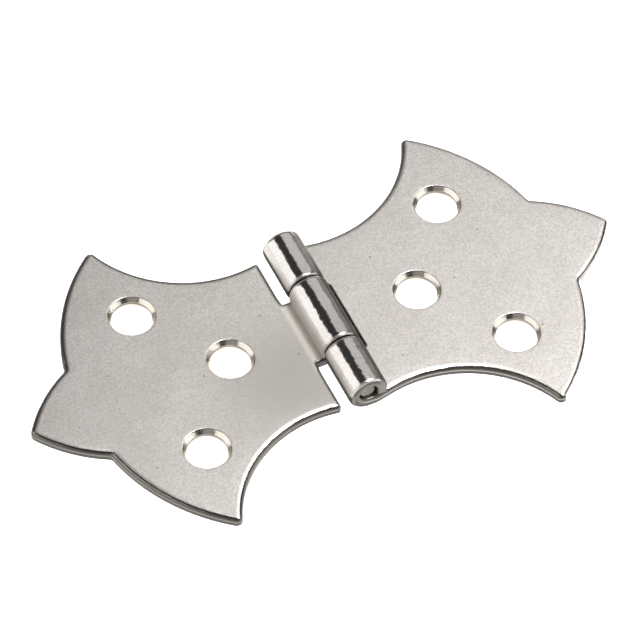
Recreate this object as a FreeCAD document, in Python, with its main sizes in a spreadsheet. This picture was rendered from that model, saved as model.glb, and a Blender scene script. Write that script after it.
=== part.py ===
import FreeCAD, Part
import math
import os

import Sketcher

# Butterfly hinge: two pressed sheet leaves shaped like wings, whose knuckles are rolled
# from the sheet itself, and one plain pin through the three knuckles.
# Millimetres. The hinge lies open and flat. +X runs across the pin to the leaf with the
# two outer knuckles, +Y runs along the pin and +Z is up. z = 0 is the underside of both
# leaves, and the origin is under the middle of the pin.

DRIVING_SIZES = {
    # The sheet that both leaves are pressed from, and the rounding of its punched top edge
    "sheet_thickness": 1.2,
    "die_roll": 0.27,
    # The wing outline, measured from the pin (x) and from the middle of the hinge (y)
    "wing_reach": 35.15,
    "ear_half_width": 20.1,
    "neck_half_width": 10.6,
    "scallop_radius": 14.2,
    "scallop_centre_x": 5.8,
    "cusp_x": 28.35,
    "cusp_y": 6.2,
    "ear_arc_radius": 22.6,
    "tip_arc_radius": 17.6,
    "wing_corner_round": 0.65,
    "cusp_round": 0.6,
    # The barrel: the pin and the three knuckles rolled round it
    "pin_diameter": 2.0,
    "pin_clearance": 0.075,
    "pin_recess": 0.35,
    "pin_chamfer": 0.2,
    "barrel_length": 22.5,
    "centre_knuckle_length": 8.8,
    "knuckle_gap": 0.2,
    "seam_gap": 0.1,
    "knuckle_edge_break": 0.15,
    # Room between a leaf's root edge and the other leaf's knuckles, and the corners there
    "root_gap": 0.75,
    "notch_gap": 0.8,
    "relief_round": 0.2,
    # Screw holes
    "screw_hole_diameter": 4.4,
    "countersink_diameter": 5.5,
    "countersink_angle": 90.0,
    "outer_hole_x": 18.7,
    "outer_hole_half_spacing": 9.8,
    "centre_hole_x": 11.35,
}

doc = FreeCAD.newDocument("butterfly_hinge")
sizes = doc.addObject("Spreadsheet::Sheet", "sizes")
for row, (alias, number) in enumerate(DRIVING_SIZES.items(), start=1):
    sizes.set(f"A{row}", alias)
    sizes.set(f"B{row}", str(number))
    sizes.setAlias(f"B{row}", alias)
doc.recompute()

# Sizes that follow from the driving ones
BORE_RADIUS = "(sizes.pin_diameter / 2 + sizes.pin_clearance)"
BARREL_RADIUS = f"({BORE_RADIUS} + sizes.sheet_thickness)"
BARREL_HALF = "(sizes.barrel_length / 2)"
CENTRE_HALF = "(sizes.centre_knuckle_length / 2)"
NOTCH_HALF = f"({CENTRE_HALF} + sizes.knuckle_gap)"
ROOT_X = f"({BARREL_RADIUS} + sizes.root_gap)"
NOTCH_X = f"({BARREL_RADIUS} + sizes.notch_gap)"
SCALLOP_CENTRE_Y = "(sizes.neck_half_width + sizes.scallop_radius)"
SEAM_Z = "(sizes.sheet_thickness + sizes.seam_gap)"
PIN_LENGTH = "(sizes.barrel_length - 2 * sizes.pin_recess)"

# Sketcher's numbers for the origin point, the two axes and the points of an edge
ORIGIN, X_AXIS, Y_AXIS = -1, -1, -2
START, END, CENTRE = 1, 2, 3
UP = FreeCAD.Vector(0, 0, 1)
HALF_TURN_DEG = 180
THREE_QUARTER_TURN = 1.5 * math.pi
ZERO = "0"
TOLERANCE = 1e-4


def size(expression):
    """The number that an expression on the sheet stands for."""
    return float(sizes.evalExpression(expression))


def vector(x, y, z=0.0):
    return FreeCAD.Vector(x, y, z)


def origin_plane(body, role):
    return next(feature for feature in body.Origin.OriginFeatures if feature.Role == role)


def new_sketch(body, name, role):
    sketch = body.newObject("Sketcher::SketchObject", name)
    sketch.AttachmentSupport = [(origin_plane(body, role), "")]
    sketch.MapMode = "FlatFace"
    return sketch


def bind(sketch, kind, geometry, expression):
    """Add a constraint whose value follows an expression on the sheet."""
    index = sketch.addConstraint(Sketcher.Constraint(kind, *geometry, size(expression)))
    sketch.setExpression(f"Constraints[{index}]", expression)


def place(sketch, axis, point, expression):
    """Hold one coordinate of a sketch point, counted from the origin."""
    bind(sketch, f"Distance{axis}", (ORIGIN, START, *point), expression)


def join(sketch, first, second):
    sketch.addConstraint(Sketcher.Constraint("Coincident", *first, *second))


def add_line(sketch, start, end):
    """Add a line and return its start and end as sketch points."""
    index = sketch.addGeometry(Part.LineSegment(vector(*start), vector(*end)))
    return index, (index, START), (index, END)


def add_arc(sketch, start, end, centre):
    """Add the arc of under half a turn and return its start and end as sketch points."""
    radius = math.dist(start, centre)
    start_angle = math.atan2(start[1] - centre[1], start[0] - centre[0])
    end_angle = math.atan2(end[1] - centre[1], end[0] - centre[0])
    circle = Part.Circle(vector(*centre), UP, radius)
    if (end_angle - start_angle) % math.tau < math.pi:
        index = sketch.addGeometry(Part.ArcOfCircle(circle, start_angle, end_angle))
        return index, (index, START), (index, END)
    index = sketch.addGeometry(Part.ArcOfCircle(circle, end_angle, start_angle))
    return index, (index, END), (index, START)


def bulge_centre(start, end, radius):
    """The centre of an arc that bulges to the right of the way from start to end."""
    half = math.dist(start, end) / 2
    along_x = (end[0] - start[0]) / (2 * half)
    along_y = (end[1] - start[1]) / (2 * half)
    depth = math.sqrt(radius**2 - half**2)
    middle = ((start[0] + end[0]) / 2, (start[1] + end[1]) / 2)
    return middle[0] - along_y * depth, middle[1] + along_x * depth


def scallop_end():
    """The inner end of the upper scallop, on the line of the root edge."""
    x = size(ROOT_X)
    run = x - size("sizes.scallop_centre_x")
    return x, size(SCALLOP_CENTRE_Y) - math.sqrt(size("sizes.scallop_radius") ** 2 - run**2)


def wing_points():
    """The tip, the cusp and the ear corner of the upper half of a wing."""
    ear_y = size("sizes.ear_half_width")
    rise = size(SCALLOP_CENTRE_Y) - ear_y
    ear_x = size("sizes.scallop_centre_x") + math.sqrt(size("sizes.scallop_radius") ** 2 - rise**2)
    tip = (size("sizes.wing_reach"), 0.0)
    cusp = (size("sizes.cusp_x"), size("sizes.cusp_y"))
    return tip, cusp, (ear_x, ear_y)


def root_points(root_path):
    """The corners of the root edge. A coordinate not given is that of the corner before."""
    corners = [scallop_end()]
    for x_expression, y_expression in root_path:
        x, y = corners[-1]
        if x_expression:
            x = size(x_expression)
        if y_expression:
            y = size(y_expression)
        corners.append((x, y))
    return corners


def mirrored(point):
    return point[0], -point[1]


def draw_half_outline(sketch, root_path, flip):
    """Draw one half of a leaf's outline, as a chain from the wing's tip to the root edge."""
    tip, cusp, ear = [flip(point) for point in wing_points()]
    root = [flip(point) for point in root_points(root_path)]
    tip_centre = flip(bulge_centre(flip(tip), flip(cusp), size("sizes.tip_arc_radius")))
    ear_centre = flip(bulge_centre(flip(cusp), flip(ear), size("sizes.ear_arc_radius")))
    scallop_centre = flip((size("sizes.scallop_centre_x"), size(SCALLOP_CENTRE_Y)))
    chain = [
        add_arc(sketch, tip, cusp, tip_centre),
        add_arc(sketch, cusp, ear, ear_centre),
        add_arc(sketch, ear, root[0], scallop_centre),
    ]
    for start, end in zip(root, root[1:]):
        chain.append(add_line(sketch, start, end))
    for (_, _, end), (_, start, _) in zip(chain, chain[1:]):
        join(sketch, end, start)
    return chain


def draw_outline(sketch, root_path):
    """Draw a whole leaf outline, held by the sheet and the same on both sides of the X axis."""
    upper = draw_half_outline(sketch, root_path, lambda point: point)
    lower = draw_half_outline(sketch, root_path, mirrored)
    (tip_arc, tip, cusp), (ear_arc, _, ear), (scallop, _, root_start) = upper[:3]
    join(sketch, tip, lower[0][1])
    sketch.addConstraint(Sketcher.Constraint("PointOnObject", *tip, X_AXIS))
    place(sketch, "X", tip, "sizes.wing_reach")
    place(sketch, "X", cusp, "sizes.cusp_x")
    place(sketch, "Y", cusp, "sizes.cusp_y")
    place(sketch, "Y", ear, "sizes.ear_half_width")
    place(sketch, "X", (scallop, CENTRE), "sizes.scallop_centre_x")
    place(sketch, "Y", (scallop, CENTRE), SCALLOP_CENTRE_Y)
    bind(sketch, "Radius", (tip_arc,), "sizes.tip_arc_radius")
    bind(sketch, "Radius", (ear_arc,), "sizes.ear_arc_radius")
    bind(sketch, "Radius", (scallop,), "sizes.scallop_radius")
    place(sketch, "X", root_start, ROOT_X)
    for (line, _, end), (x_expression, y_expression) in zip(upper[3:], root_path):
        if x_expression == ZERO:
            sketch.addConstraint(Sketcher.Constraint("PointOnObject", *end, Y_AXIS))
        elif x_expression:
            place(sketch, "X", end, x_expression)
        else:
            sketch.addConstraint(Sketcher.Constraint("Vertical", line))
        if y_expression:
            place(sketch, "Y", end, y_expression)
        else:
            sketch.addConstraint(Sketcher.Constraint("Horizontal", line))
    for (_, _, above), (_, _, below) in zip(upper, lower):
        sketch.addConstraint(Sketcher.Constraint("Symmetric", *above, *below, X_AXIS))
    for (arc, _, _), (twin, _, _) in zip(upper[:3], lower[:3]):
        sketch.addConstraint(Sketcher.Constraint("Equal", arc, twin))
    last = root_points(root_path)[-1]
    _, start, end = add_line(sketch, last, mirrored(last))
    join(sketch, upper[-1][2], start)
    join(sketch, lower[-1][2], end)


def round_corners(body, base, name, corners, radius):
    """Round the upright edges that stand at the given corners of a leaf."""
    chosen = []
    for index, edge in enumerate(base.Shape.Edges, start=1):
        low, high = edge.Vertexes[0].Point, edge.Vertexes[-1].Point
        upright = math.dist((low.x, low.y), (high.x, high.y)) < TOLERANCE < abs(high.z - low.z)
        if upright and any(math.dist((low.x, low.y), corner) < TOLERANCE for corner in corners):
            chosen.append(f"Edge{index}")
    return add_fillet(body, base, name, chosen, radius)


def add_fillet(body, base, name, edges, radius):
    fillet = body.newObject("PartDesign::Fillet", name)
    fillet.Base = (base, edges)
    fillet.setExpression("Radius", radius)
    body.Tip = fillet
    doc.recompute()
    return fillet


def both_sides(points):
    return points + [mirrored(point) for point in points]


def add_blank(body, root_path, relief_corner):
    """Punch the flat leaf and round its corners."""
    sketch = new_sketch(body, f"{body.Label}_outline", "XY_Plane")
    draw_outline(sketch, root_path)
    blank = body.newObject("PartDesign::Pad", f"{body.Label}_blank")
    blank.Profile = sketch
    blank.setExpression("Length", "sizes.sheet_thickness")
    doc.recompute()
    tip, cusp, ear = wing_points()
    wing_corners = [tip] + both_sides([ear])
    feature = round_corners(
        body, blank, f"{body.Label}_wing_corners", wing_corners, "sizes.wing_corner_round"
    )
    feature = round_corners(body, feature, f"{body.Label}_cusps", both_sides([cusp]), "sizes.cusp_round")
    feature = round_corners(
        body, feature, f"{body.Label}_relief", both_sides([relief_corner]), "sizes.relief_round"
    )
    add_die_roll(body, feature)


def draw_eye(sketch):
    """Draw the section of a rolled knuckle, from the flat sheet round to its cut end.

    The sheet runs in under the pin at z = 0, turns up and over it, and comes straight down
    on the leaf's side until its cut end stands just clear of the leaf's top face.
    """
    bore, barrel, seam = size(BORE_RADIUS), size(BARREL_RADIUS), size(SEAM_Z)
    sheet = size("sizes.sheet_thickness")
    turns = []
    for radius in (barrel, bore):
        circle = Part.Circle(vector(0, barrel), UP, radius)
        turns.append(sketch.addGeometry(Part.ArcOfCircle(circle, 0, THREE_QUARTER_TURN)))
    outer, inner = turns
    drop, drop_start, drop_end = add_line(sketch, (barrel, barrel), (barrel, seam))
    cut, cut_start, cut_end = add_line(sketch, (barrel, seam), (bore, seam))
    rise, rise_start, rise_end = add_line(sketch, (bore, seam), (bore, barrel))
    root, root_start, root_end = add_line(sketch, (0, sheet), (0, 0))
    for first, second in (
        ((outer, START), drop_start),
        (drop_end, cut_start),
        (cut_end, rise_start),
        (rise_end, (inner, START)),
        ((inner, END), root_start),
        (root_end, (outer, END)),
        ((outer, CENTRE), (inner, CENTRE)),
        (root_end, (ORIGIN, START)),
    ):
        join(sketch, first, second)
    for line in (drop, rise, root):
        sketch.addConstraint(Sketcher.Constraint("Vertical", line))
    sketch.addConstraint(Sketcher.Constraint("Horizontal", cut))
    sketch.addConstraint(Sketcher.Constraint("PointOnObject", outer, CENTRE, Y_AXIS))
    place(sketch, "Y", (outer, CENTRE), BARREL_RADIUS)
    sketch.addConstraint(Sketcher.Constraint("Horizontal", outer, CENTRE, outer, START))
    sketch.addConstraint(Sketcher.Constraint("Horizontal", inner, CENTRE, inner, START))
    bind(sketch, "Radius", (inner,), BORE_RADIUS)
    place(sketch, "Y", drop_end, SEAM_Z)


def add_centre_knuckle(body):
    sketch = new_sketch(body, f"{body.Label}_eye", "XZ_Plane")
    draw_eye(sketch)
    knuckle = body.newObject("PartDesign::Pad", f"{body.Label}_knuckle")
    knuckle.Profile = sketch
    knuckle.Midplane = True
    knuckle.setExpression("Length", "sizes.centre_knuckle_length")
    body.Tip = knuckle
    doc.recompute()


def add_outer_knuckles(body):
    sketch = new_sketch(body, f"{body.Label}_eye", "XZ_Plane")
    draw_eye(sketch)
    sketch.setExpression("AttachmentOffset.Base.z", NOTCH_HALF)
    knuckle = body.newObject("PartDesign::Pad", f"{body.Label}_knuckle")
    knuckle.Profile = sketch
    knuckle.setExpression("Length", f"{BARREL_HALF} - {NOTCH_HALF}")
    body.Tip = knuckle
    doc.recompute()
    pair = body.newObject("PartDesign::Mirrored", f"{body.Label}_knuckle_pair")
    pair.Originals = [knuckle]
    pair.MirrorPlane = (origin_plane(body, "XZ_Plane"), [""])
    body.Tip = pair
    doc.recompute()


def break_knuckle_edges(body):
    """Take the sharp edge off the outer rim at both ends of each knuckle.

    The cut runs on along the underside of the root, which is smooth with the rim.
    """
    base = body.Tip
    barrel = size(BARREL_RADIUS)
    rims = []
    for index, edge in enumerate(base.Shape.Edges, start=1):
        if isinstance(edge.Curve, Part.Circle) and abs(edge.Curve.Radius - barrel) < TOLERANCE:
            rims.append(f"Edge{index}")
    chamfer = body.newObject("PartDesign::Chamfer", f"{body.Label}_knuckle_edges")
    chamfer.Base = (base, rims)
    chamfer.setExpression("Size", "sizes.knuckle_edge_break")
    body.Tip = chamfer
    doc.recompute()


def add_die_roll(body, base):
    """Round the punched edge all along the top face, where the punch drew the sheet in."""
    top = size("sizes.sheet_thickness")
    face = max(
        (face for face in base.Shape.Faces if abs(face.CenterOfMass.z - top) < TOLERANCE),
        key=lambda face: face.Area,
    )
    chosen = []
    for index, edge in enumerate(base.Shape.Edges, start=1):
        on_rim = any(edge.isSame(rim) for rim in face.OuterWire.Edges)
        if on_rim and edge.CenterOfMass.x > TOLERANCE:
            chosen.append(f"Edge{index}")
    return add_fillet(body, base, f"{body.Label}_die_roll", chosen, "sizes.die_roll")


def add_screw_holes(body):
    """Pierce and countersink the three screw holes from the top face."""
    sketch = new_sketch(body, f"{body.Label}_hole_centres", "XY_Plane")
    sketch.setExpression("AttachmentOffset.Base.z", "sizes.sheet_thickness")
    radius = size("sizes.screw_hole_diameter") / 2
    outer_x, outer_y = size("sizes.outer_hole_x"), size("sizes.outer_hole_half_spacing")
    centres = ((outer_x, outer_y), (outer_x, -outer_y), (size("sizes.centre_hole_x"), 0.0))
    upper, lower, middle = (
        sketch.addGeometry(Part.Circle(vector(*centre), UP, radius)) for centre in centres
    )
    place(sketch, "X", (upper, CENTRE), "sizes.outer_hole_x")
    place(sketch, "Y", (upper, CENTRE), "sizes.outer_hole_half_spacing")
    sketch.addConstraint(Sketcher.Constraint("Symmetric", upper, CENTRE, lower, CENTRE, X_AXIS))
    sketch.addConstraint(Sketcher.Constraint("PointOnObject", middle, CENTRE, X_AXIS))
    place(sketch, "X", (middle, CENTRE), "sizes.centre_hole_x")
    bind(sketch, "Diameter", (upper,), "sizes.screw_hole_diameter")
    sketch.addConstraint(Sketcher.Constraint("Equal", upper, lower))
    sketch.addConstraint(Sketcher.Constraint("Equal", upper, middle))
    doc.recompute()
    volume_before = body.Shape.Volume
    holes = body.newObject("PartDesign::Hole", f"{body.Label}_screw_holes")
    holes.Profile = sketch
    holes.DepthType = "ThroughAll"
    holes.HoleCutType = "Countersink"
    holes.HoleCutCustomValues = True
    holes.setExpression("Diameter", "sizes.screw_hole_diameter")
    holes.setExpression("HoleCutDiameter", "sizes.countersink_diameter")
    holes.setExpression("HoleCutCountersinkAngle", "sizes.countersink_angle")
    body.Tip = holes
    doc.recompute()
    if body.Shape.Volume >= volume_before:
        raise RuntimeError(f"the screw holes of {body.Label} cut nothing")


def new_body(label):
    body = doc.addObject("PartDesign::Body", label)
    body.Label = label
    return body


def make_right_leaf():
    """The leaf on +X, with the two outer knuckles and the notch between them."""
    body = new_body("right_leaf")
    root_path = ((BORE_RADIUS, BARREL_HALF), (ZERO, None), (None, NOTCH_HALF), (NOTCH_X, None))
    add_blank(body, root_path, root_points(root_path)[-1])
    add_outer_knuckles(body)
    break_knuckle_edges(body)
    add_screw_holes(body)
    return body


def make_left_leaf():
    """The leaf on -X, with the centre knuckle, made as the right one is and turned about Z."""
    body = new_body("left_leaf")
    root_path = ((None, CENTRE_HALF), (ZERO, None))
    add_blank(body, root_path, root_points(root_path)[1])
    add_centre_knuckle(body)
    break_knuckle_edges(body)
    add_screw_holes(body)
    body.Placement = FreeCAD.Placement(vector(0, 0), FreeCAD.Rotation(UP, HALF_TURN_DEG))
    return body


def make_pin():
    """The pin, a little shorter than the barrel and chamfered at both ends."""
    body = new_body("hinge_pin")
    sketch = new_sketch(body, "pin_section", "XZ_Plane")
    section = sketch.addGeometry(
        Part.Circle(vector(0, size(BARREL_RADIUS)), UP, size("sizes.pin_diameter") / 2)
    )
    sketch.addConstraint(Sketcher.Constraint("PointOnObject", section, CENTRE, Y_AXIS))
    place(sketch, "Y", (section, CENTRE), BARREL_RADIUS)
    bind(sketch, "Diameter", (section,), "sizes.pin_diameter")
    rod = body.newObject("PartDesign::Pad", "pin_rod")
    rod.Profile = sketch
    rod.Midplane = True
    rod.setExpression("Length", PIN_LENGTH)
    doc.recompute()
    ends = body.newObject("PartDesign::Chamfer", "pin_ends")
    rims = [index for index, edge in enumerate(rod.Shape.Edges, start=1) if edge.isClosed()]
    ends.Base = (rod, [f"Edge{index}" for index in rims])
    ends.setExpression("Size", "sizes.pin_chamfer")
    body.Tip = ends
    doc.recompute()
    return body


pieces = [make_right_leaf(), make_left_leaf(), make_pin()]
doc.recompute()

for member in doc.Objects:
    if "Invalid" in member.State or "Error" in member.State:
        raise RuntimeError(f"{member.Label} failed: {member.State}")
for piece in pieces:
    if piece.Shape.isNull() or not piece.Shape.isValid() or len(piece.Shape.Solids) != 1:
        raise RuntimeError(f"{piece.Label} is not one valid solid")

os.makedirs("parts", exist_ok=True)
for piece in pieces:
    piece.Shape.exportStep(f"parts/{piece.Label}.step")
    box = piece.Shape.BoundBox
    print(
        f"{piece.Label}: volume {piece.Shape.Volume:.2f}, "
        f"x {box.XMin:.3f} to {box.XMax:.3f}, y {box.YMin:.3f} to {box.YMax:.3f}, "
        f"z {box.ZMin:.3f} to {box.ZMax:.3f}"
    )
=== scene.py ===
# %% [markdown]
# # A butterfly hinge in satin nickel
# This hinge lies open and flat: two wing-shaped leaves pressed from steel sheet, and a plain pin
# through knuckles that are rolled from the sheet itself. The imported CAD model is the fixed frame
# of the scene.

# %% Load the imported hinge
import math

import bpy
from mathutils import Matrix, Vector
from mathutils.geometry import delaunay_2d_cdt


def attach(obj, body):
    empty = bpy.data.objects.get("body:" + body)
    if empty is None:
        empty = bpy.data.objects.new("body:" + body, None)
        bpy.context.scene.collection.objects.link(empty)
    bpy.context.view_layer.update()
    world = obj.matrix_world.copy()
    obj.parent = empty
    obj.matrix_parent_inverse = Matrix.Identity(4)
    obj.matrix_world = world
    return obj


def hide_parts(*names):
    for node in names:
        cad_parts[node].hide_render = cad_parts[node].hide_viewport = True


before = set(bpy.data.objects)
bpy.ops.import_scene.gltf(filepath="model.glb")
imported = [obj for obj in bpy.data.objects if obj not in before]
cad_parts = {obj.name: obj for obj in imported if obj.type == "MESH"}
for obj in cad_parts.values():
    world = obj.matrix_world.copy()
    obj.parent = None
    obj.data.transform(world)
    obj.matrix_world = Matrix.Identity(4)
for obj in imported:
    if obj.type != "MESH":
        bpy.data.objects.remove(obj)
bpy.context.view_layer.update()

# %% [markdown]
# ## Sizes
# The sizes are the ones the hinge is drawn to, in millimetres, with the pin along Y and the leaf
# being made on +X. They could be read off the CAD mesh, but named sizes are easier to follow and to
# change. A few small radii, which the tools leave on every edge, are added here.

# %% Sizes of the sheet, the wing, the barrel and the holes
MM = 0.001

# The sheet, and what the punch and the rolling tool do to its edges
SHEET = 1.2
DIE_ROLL = 0.26
BURR_EDGE = 0.16
EDGE_FLAT = 0.05
RIM_WIDTH = DIE_ROLL + EDGE_FLAT
DRAW_WIDTH = 0.72
DRAW_DEPTH = 0.21
EASE_WIDTH = 0.6
EASE_DEPTH = 0.1

# The wing
WING_REACH = 35.15
CUSP = (28.35, 6.2)
EAR_HALF_WIDTH = 20.1
TIP_ARC_RADIUS = 17.6
EAR_ARC_RADIUS = 22.6
SCALLOP_RADIUS = 14.2
SCALLOP_CENTRE = (5.8, 24.8)
WING_CORNER = 0.65
CUSP_CORNER = 0.6
SMALL_CORNER = 0.36
RELIEF_CORNER = 0.2

# The barrel and the pin
BORE_RADIUS = 1.075
BARREL_RADIUS = BORE_RADIUS + SHEET
BARREL_HALF = 11.25
CENTRE_HALF = 4.4
NOTCH_HALF = 4.6
ROOT_X = 3.025
NOTCH_X = 2.8
SEAM_Z = 1.3
PIN_RADIUS = 1.0
PIN_HALF = 10.9

# The screw holes
HOLE_RADIUS = 2.22
COUNTERSINK_RADIUS = 2.67
COUNTERSINK_DEPTH = 0.48
COUNTERSINK_LIP = 0.2
COUNTERSINK_FOOT = 0.1
HOLE_CENTRES = ((18.7, 9.8), (18.7, -9.8), (11.35, 0.0))

# The strip that is rolled to a knuckle, measured along the middle of the sheet
ROLL_TURN = 1.5 * math.pi
ROLL_LENGTH = ROLL_TURN * (BARREL_RADIUS + BORE_RADIUS) / 2
STRIP_LENGTH = ROLL_LENGTH + BARREL_RADIUS - SEAM_Z
print(f"Each knuckle takes a strip {STRIP_LENGTH:.2f} mm long, of which {ROLL_LENGTH:.2f} mm is rolled")

# %% [markdown]
# ## The flat blank
# A leaf starts as a flat blank that a die punches out, with straight strips along its root for the
# knuckles. The outline could be a Bezier curve, but its arcs have known radii, so it is a chain of
# arcs and lines, walked with the metal on the left. Where two arcs meet, the corner's own small
# circle touches both, so its centre lies where the two circles, each moved by the corner's radius,
# cross.

# %% Points along arcs and lines
STEP = 0.4
STEP_ANGLE = math.radians(7)


def crossing(first, second, near):
    """The point nearest to a given one where two circles, as (centre, radius), cross."""
    (first_centre, first_radius), (second_centre, second_radius) = first, second
    gap = math.dist(first_centre, second_centre)
    along = (gap**2 + first_radius**2 - second_radius**2) / (2 * gap)
    aside = math.sqrt(first_radius**2 - along**2)
    ux = (second_centre[0] - first_centre[0]) / gap
    uy = (second_centre[1] - first_centre[1]) / gap
    foot = (first_centre[0] + along * ux, first_centre[1] + along * uy)
    choices = [(foot[0] - side * uy, foot[1] + side * ux) for side in (aside, -aside)]
    return min(choices, key=lambda point: math.dist(point, near))


def touch(circle, corner_centre):
    """Where a corner's circle touches the circle it rounds off."""
    (x, y), radius = circle
    span = math.dist((x, y), corner_centre)
    return x + (corner_centre[0] - x) * radius / span, y + (corner_centre[1] - y) * radius / span


def arc(centre, start, end, turn):
    """Points from start up to, but not with, the end; turn is +1 to the left and -1 to the right."""
    radius = math.dist(centre, start)
    first = math.atan2(start[1] - centre[1], start[0] - centre[0])
    last = math.atan2(end[1] - centre[1], end[0] - centre[0])
    sweep = (turn * (last - first)) % math.tau
    count = max(2, math.ceil(sweep / STEP_ANGLE), math.ceil(sweep * radius / STEP))
    angles = [first + turn * sweep * i / count for i in range(count)]
    return [(centre[0] + radius * math.cos(a), centre[1] + radius * math.sin(a)) for a in angles]


def line(start, end):
    """Points from start up to, but not with, the end."""
    count = max(1, math.ceil(math.dist(start, end) / STEP))
    shares = [i / count for i in range(count)]
    return [(start[0] + (end[0] - start[0]) * t, start[1] + (end[1] - start[1]) * t) for t in shares]


def bulge_centre(start, end, radius):
    """The centre of an arc that turns left on its way from start to end."""
    half = math.dist(start, end) / 2
    ux, uy = (end[0] - start[0]) / (2 * half), (end[1] - start[1]) / (2 * half)
    depth = math.sqrt(radius**2 - half**2)
    return (start[0] + end[0]) / 2 - uy * depth, (start[1] + end[1]) / 2 + ux * depth


print(f"Outline points lie at most {STEP} mm apart")

# %% [markdown]
# ## The wing
# Half a wing is walked from its tip on the X axis, over the cusp and the ear, to where the scallop
# starts. The other half of the real leaf mirrors it, so only one half is drawn.

# %% The wing, from its tip to the start of the scallop
ear_rise = SCALLOP_CENTRE[1] - EAR_HALF_WIDTH
EAR = (SCALLOP_CENTRE[0] + math.sqrt(SCALLOP_RADIUS**2 - ear_rise**2), EAR_HALF_WIDTH)
tip_circle = (bulge_centre((WING_REACH, 0), CUSP, TIP_ARC_RADIUS), TIP_ARC_RADIUS)
ear_circle = (bulge_centre(CUSP, EAR, EAR_ARC_RADIUS), EAR_ARC_RADIUS)
scallop_circle = (SCALLOP_CENTRE, SCALLOP_RADIUS)


def moved(circle, distance):
    """A circle about the same centre, larger by a distance."""
    return circle[0], circle[1] + distance


def wing_half():
    """Half of the wing's edge, from its tip to the scallop, and the scallop's first point."""
    (tip_x, tip_y), tip_radius = moved(tip_circle, -WING_CORNER)
    tip_centre = (tip_x + math.sqrt(tip_radius**2 - tip_y**2), 0.0)
    cusp_centre = crossing(moved(tip_circle, CUSP_CORNER), moved(ear_circle, CUSP_CORNER), CUSP)
    ear_centre = crossing(moved(ear_circle, -WING_CORNER), moved(scallop_circle, WING_CORNER), EAR)
    tip = (tip_centre[0] + WING_CORNER, 0.0)
    scallop_start = touch(scallop_circle, ear_centre)
    points = arc(tip_centre, tip, touch(tip_circle, tip_centre), 1)
    points += arc(tip_circle[0], touch(tip_circle, tip_centre), touch(tip_circle, cusp_centre), 1)
    points += arc(cusp_centre, touch(tip_circle, cusp_centre), touch(ear_circle, cusp_centre), -1)
    points += arc(ear_circle[0], touch(ear_circle, cusp_centre), touch(ear_circle, ear_centre), 1)
    points += arc(ear_centre, touch(ear_circle, ear_centre), scallop_start, 1)
    return points, scallop_start


wing_points, SCALLOP_START = wing_half()
print(f"Half a wing: {len(wing_points)} points, ear at {EAR[0]:.2f}, {EAR[1]:.2f} mm")

# %% [markdown]
# ## Roots and knuckle strips
# The two leaves differ only at the root. One carries the centre strip on a tongue; the other carries
# two outer strips with a notch between them. A strip has a row of points for each few degrees of the
# roll to come, because a row is all that can bend.

# %% Root edges of the two leaves
ROLL_ROWS = 80
DROP_ROWS = 4
STRIP_END = STRIP_LENGTH - SMALL_CORNER
drop_step = (STRIP_END - ROLL_LENGTH) / DROP_ROWS
strip_rows = [ROLL_LENGTH * i / ROLL_ROWS for i in range(ROLL_ROWS)]
strip_rows += [ROLL_LENGTH + drop_step * i for i in range(DROP_ROWS)]


def strip_side(y, outward):
    """One side of a knuckle strip, with a point in each row; outward is away from the leaf."""
    rows = [(-row, y) for row in strip_rows]
    return rows if outward else [(-STRIP_END, y)] + rows[:0:-1]


def strip_end(high, low):
    """The cut end of a strip, with its two corners."""
    x = -STRIP_LENGTH
    points = arc((-STRIP_END, high - SMALL_CORNER), (-STRIP_END, high), (x, high - SMALL_CORNER), 1)
    points += line((x, high - SMALL_CORNER), (x, low + SMALL_CORNER))
    points += arc((-STRIP_END, low + SMALL_CORNER), (x, low + SMALL_CORNER), (-STRIP_END, low), 1)
    return points


def tongue_root():
    """The root of the leaf with the centre knuckle, down to the end of its strip."""
    corner_x = ROOT_X + SMALL_CORNER
    run = corner_x - SCALLOP_CENTRE[0]
    reach = SCALLOP_RADIUS + SMALL_CORNER
    corner = (corner_x, SCALLOP_CENTRE[1] - math.sqrt(reach**2 - run**2))
    relief = (ROOT_X - RELIEF_CORNER, CENTRE_HALF + RELIEF_CORNER)
    points = arc(SCALLOP_CENTRE, SCALLOP_START, touch(scallop_circle, corner), -1)
    points += arc(corner, touch(scallop_circle, corner), (ROOT_X, corner[1]), 1)
    points += line((ROOT_X, corner[1]), (ROOT_X, relief[1]))
    points += arc(relief, (ROOT_X, relief[1]), (relief[0], CENTRE_HALF), -1)
    points += line((relief[0], CENTRE_HALF), (0, CENTRE_HALF))
    return points + strip_side(CENTRE_HALF, True)


def notched_root():
    """The root of the leaf with the outer knuckles, round one strip and on to the notch."""
    run = ROOT_X - SCALLOP_CENTRE[0]
    scallop_end = (ROOT_X, SCALLOP_CENTRE[1] - math.sqrt(SCALLOP_RADIUS**2 - run**2))
    relief = (NOTCH_X - RELIEF_CORNER, NOTCH_HALF - RELIEF_CORNER)
    points = arc(SCALLOP_CENTRE, SCALLOP_START, scallop_end, -1)
    points += line(scallop_end, (BORE_RADIUS, BARREL_HALF))
    points += line((BORE_RADIUS, BARREL_HALF), (0, BARREL_HALF))
    points += strip_side(BARREL_HALF, True)
    points += strip_end(BARREL_HALF, NOTCH_HALF)
    points += strip_side(NOTCH_HALF, False)
    points += line((0, NOTCH_HALF), (relief[0], NOTCH_HALF))
    points += arc(relief, (relief[0], NOTCH_HALF), (NOTCH_X, relief[1]), -1)
    return points + line((NOTCH_X, relief[1]), (NOTCH_X, 0))


def mirrored(points, last):
    """The other half of an outline, walked back from a last point to the tip."""
    return [(x, -y) for x, y in reversed(points[1:] + [last])]


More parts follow.
